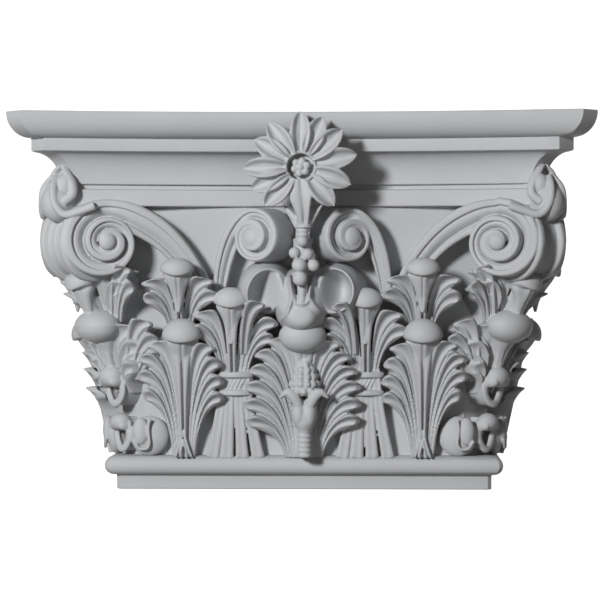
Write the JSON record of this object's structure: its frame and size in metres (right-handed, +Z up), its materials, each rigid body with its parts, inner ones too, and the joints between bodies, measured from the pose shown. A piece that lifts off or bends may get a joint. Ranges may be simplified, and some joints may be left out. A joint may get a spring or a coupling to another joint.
{
  "type": "corinthian pilaster capital",
  "caption": "Cast Corinthian pilaster capital: torus neck, flaring bell with ball-tipped leaves, paired volutes, flower and hollow-sided moulded abacus, flat back against the wall",
  "frame": {"origin": "centre of the neck's flat underside, where the capital sits on the pilaster shaft", "axes": "+Z up, +X to the right as seen from the front, the carved front faces -Y and the flat back at +Y stands against the wall"},
  "size_m": [0.61, 0.215, 0.397],
  "materials": {
    "cast_resin": "factory-primed moulded urethane, matte light grey with a very fine grain"
  },
  "bodies": {
    "root": {"capital": "cast_resin"}
  },
  "joints": []
}
